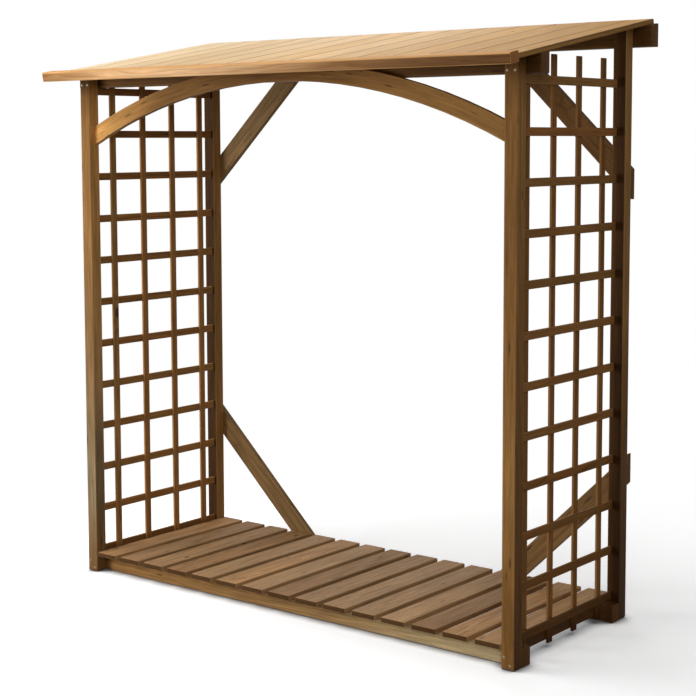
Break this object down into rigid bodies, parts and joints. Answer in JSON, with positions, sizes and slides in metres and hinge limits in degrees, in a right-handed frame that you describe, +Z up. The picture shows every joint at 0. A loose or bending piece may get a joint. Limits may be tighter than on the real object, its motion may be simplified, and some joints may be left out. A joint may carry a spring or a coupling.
{
  "type": "log store",
  "caption": "Open timber log store with lattice sides, an arched front, knee-braced back, slatted floor and a boarded lean-to roof falling to the front.",
  "frame": {"origin": "on the ground under the middle of the whole, roof overhangs included", "axes": "+Z up, +X to the right seen from the front, +Y from the arched front to the back"},
  "size_m": [1.95, 0.852, 1.9337],
  "materials": {
    "frame_timber": "planed, dip-treated brown",
    "lattice_laths": "sawn, dip-treated dark brown",
    "roof_boards": "planed, golden tan",
    "floor_timber": "planed, greyish tan"
  },
  "bodies": {
    "root": {"front_left_post": "frame_timber", "front_right_post": "frame_timber", "rear_left_post": "frame_timber", "rear_right_post": "frame_timber", "front_top_rail": "frame_timber", "rear_top_rail": "frame_timber", "front_arch": "frame_timber", "upper_left_brace": "frame_timber", "upper_right_brace": "frame_timber", "lower_left_brace": "frame_timber", "lower_right_brace": "frame_timber", "left_lattice": "lattice_laths", "right_lattice": "lattice_laths", "front_floor_bearer": "floor_timber", "rear_floor_bearer": "floor_timber", "left_floor_cleat": "floor_timber", "right_floor_cleat": "floor_timber", "floor_slat_1": "floor_timber", "floor_slat_2": "floor_timber", "floor_slat_3": "floor_timber", "floor_slat_4": "floor_timber", "floor_slat_5": "floor_timber", "floor_slat_6": "floor_timber", "floor_slat_7": "floor_timber", "floor_slat_8": "floor_timber", "floor_slat_9": "floor_timber", "floor_slat_10": "floor_timber", "floor_slat_11": "floor_timber", "floor_slat_12": "floor_timber", "floor_slat_13": "floor_timber", "floor_slat_14": "floor_timber", "floor_slat_15": "floor_timber", "eaves_batten": "roof_boards", "roof_board_1": "roof_boards", "roof_board_2": "roof_boards", "roof_board_3": "roof_boards", "roof_board_4": "roof_boards", "roof_board_5": "roof_boards", "roof_board_6": "roof_boards", "roof_board_7": "roof_boards", "roof_board_8": "roof_boards", "roof_board_9": "roof_boards", "roof_board_10": "roof_boards", "roof_board_11": "roof_boards", "roof_board_12": "roof_boards", "roof_board_13": "roof_boards", "roof_board_14": "roof_boards", "roof_board_15": "roof_boards"}
  },
  "joints": []
}
